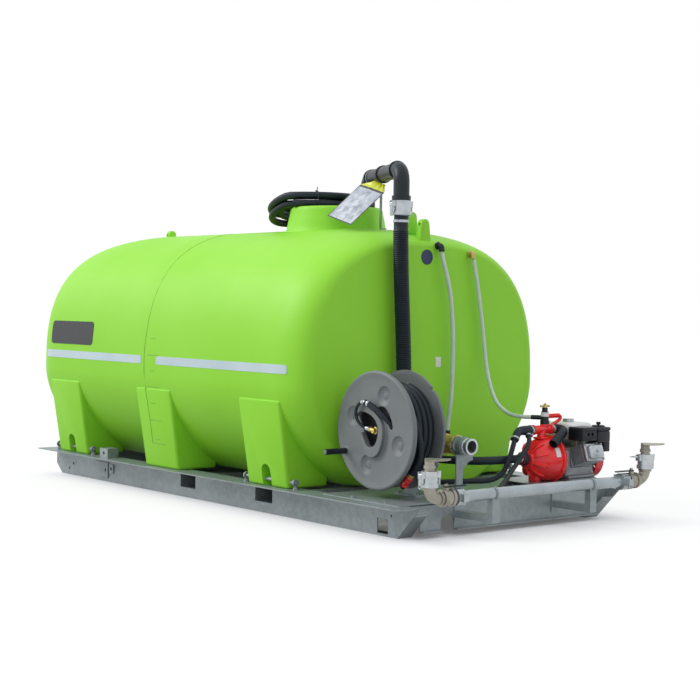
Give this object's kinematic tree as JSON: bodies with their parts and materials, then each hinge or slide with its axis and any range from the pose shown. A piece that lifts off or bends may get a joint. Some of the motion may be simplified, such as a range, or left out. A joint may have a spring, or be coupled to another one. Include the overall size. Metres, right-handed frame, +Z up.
{
  "type": "skid-mounted water cartage unit",
  "caption": "Skid-mounted water cartage tank with galvanised sled frame, engine pump, hose reel, overhead fill and rear spray bar.",
  "frame": {"origin": "middle of the footprint box, on the ground under the rails", "axes": "+X along the skid toward the pump and spray bar, +Z up, -Y the long side with the reel"},
  "size_m": [4.0849, 1.832, 2.002],
  "materials": {
    "galvanised": "hot-dip galvanised, dull and slightly mottled",
    "tank_plastic": "moulded polyethylene, satin lime green",
    "black_plastic": "black polypropylene and black paint",
    "black_rubber": "black rubber hose",
    "grey_plastic": "moulded grey plastic",
    "clear_tube": "clear hose",
    "brass": "cast brass",
    "bronze": "dull cast gunmetal",
    "red_paint": "red enamel",
    "steel": "bright cast aluminium and steel",
    "engine_metal": "cast aluminium, grey",
    "white_plastic": "white plastic",
    "white_tape": "white reflective tape",
    "dark_vinyl": "printed vinyl left bare"
  },
  "bodies": {
    "unit": {"side_rail_left": "galvanised", "side_rail_right": "galvanised", "rear_crossrail": "galvanised", "cross_members": "galvanised", "rear_deck": "galvanised", "pump_tray": "galvanised", "tie_down_brackets": "galvanised", "hold_down_bars": "galvanised", "fasteners": "galvanised", "pipe_supports": "galvanised", "reel_stand": "galvanised", "spray_pipe": "galvanised", "grooved_couplings": "galvanised", "tank_shell": "tank_plastic", "plastic_fittings": "black_plastic", "overhead_pipe": "black_plastic", "muffler": "black_plastic", "air_cleaner": "black_plastic", "relief_valve": "black_plastic", "fill_hose": "black_rubber", "suction_hose": "black_rubber", "delivery_hose": "black_rubber", "feed_hose": "black_rubber", "hose_coil": "black_rubber", "sight_tube": "clear_tube", "bypass_tube": "clear_tube", "brass_fittings": "brass", "spray_heads": "bronze", "ball_valves": "bronze", "spray_elbows": "bronze", "pump_casing": "red_paint", "recoil_cover": "red_paint", "hose_clamps": "steel", "fill_adaptor": "steel", "camlock_couplers": "steel", "engine_block": "engine_metal", "document_bag": "white_plastic", "fuel_tank": "white_plastic", "reflective_tapes": "white_tape", "sign_plates": "dark_vinyl"},
    "reel": {"reel_flange_near": "grey_plastic", "reel_flange_far": "grey_plastic", "reel_hose": "black_rubber", "reel_swivel": "brass", "reel_nozzle": "red_paint"},
    "grip": {"crank_grip": "black_plastic"},
    "lever_left": {"valve_lever_left": "black_plastic"},
    "lever_right": {"valve_lever_right": "black_plastic"},
    "fill_arm_a": {"fill_cam_a": "steel"},
    "fill_arm_b": {"fill_cam_b": "steel"},
    "spray_arm_a": {"spray_cam_a": "steel"},
    "spray_arm_b": {"spray_cam_b": "steel"},
    "spray_arm_c": {"spray_cam_c": "steel"},
    "spray_arm_d": {"spray_cam_d": "steel"},
    "lid": {"manhole_lid": "black_plastic"},
    "relief_knob": {"relief_handle": "brass"},
    "cap": {"fuel_cap": "black_plastic"},
    "starter": {"pull_handle": "black_plastic"},
    "rotor": {"pump_rotor": "steel"}
  },
  "joints": [
    {"name": "reel_turn", "type": "hinge", "parent": "unit", "child": "reel", "pos_m": [1.3575, -0.59, 0.534], "axis": [0, 1, 0], "continuous": true},
    {"name": "grip_turn", "type": "hinge", "parent": "reel", "child": "grip", "pos_m": [1.12175, -0.774, 0.40865], "axis": [0, 1, 0], "continuous": true},
    {"name": "lever_left_turn", "type": "hinge", "parent": "unit", "child": "lever_left", "pos_m": [1.9375, -0.716, 0.309], "axis": [0, 0, -1], "range_deg": [0, 90]},
    {"name": "lever_right_turn", "type": "hinge", "parent": "unit", "child": "lever_right", "pos_m": [1.9375, 0.656, 0.309], "axis": [0, 0, 1], "range_deg": [0, 90]},
    {"name": "fill_arm_a_turn", "type": "hinge", "parent": "unit", "child": "fill_arm_a", "pos_m": [1.0475, -0.34, 1.754], "axis": [-1, 0, 0], "range_deg": [0, 100]},
    {"name": "fill_arm_b_turn", "type": "hinge", "parent": "unit", "child": "fill_arm_b", "pos_m": [1.0475, -0.21, 1.754], "axis": [1, 0, 0], "range_deg": [0, 100]},
    {"name": "spray_arm_a_turn", "type": "hinge", "parent": "unit", "child": "spray_arm_a", "pos_m": [1.9375, -0.884, 0.366], "axis": [-1, 0, 0], "range_deg": [0, 100]},
    {"name": "spray_arm_b_turn", "type": "hinge", "parent": "unit", "child": "spray_arm_b", "pos_m": [1.9375, -0.776, 0.366], "axis": [1, 0, 0], "range_deg": [0, 100]},
    {"name": "spray_arm_c_turn", "type": "hinge", "parent": "unit", "child": "spray_arm_c", "pos_m": [1.9375, 0.716, 0.366], "axis": [-1, 0, 0], "range_deg": [-92, 8]},
    {"name": "spray_arm_d_turn", "type": "hinge", "parent": "unit", "child": "spray_arm_d", "pos_m": [1.9375, 0.824, 0.366], "axis": [1, 0, 0], "range_deg": [0, 100]},
    {"name": "lid_turn", "type": "hinge", "parent": "unit", "child": "lid", "pos_m": [0.0275, 0, 1.712], "axis": [0, 0, 1], "range_deg": [0, 60]},
    {"name": "relief_turn", "type": "hinge", "parent": "unit", "child": "relief_knob", "pos_m": [1.5075, 0.415, 0.636], "axis": [0, 0, 1], "range_deg": [-180, 180]},
    {"name": "cap_turn", "type": "hinge", "parent": "unit", "child": "cap", "pos_m": [1.4575, 0.66, 0.544], "axis": [0, 0, 1], "range_deg": [0, 120]},
    {"name": "starter_pull", "type": "slide", "parent": "unit", "child": "starter", "axis": [0, 0, 1], "range_m": [0, 0.45], "stiffness_N_per_m": 30, "springref_m": -0.3},
    {"name": "rotor_turn", "type": "hinge", "parent": "unit", "child": "rotor", "pos_m": [1.5075, 0.42, 0.321], "axis": [0, 1, 0], "continuous": true}
  ]
}
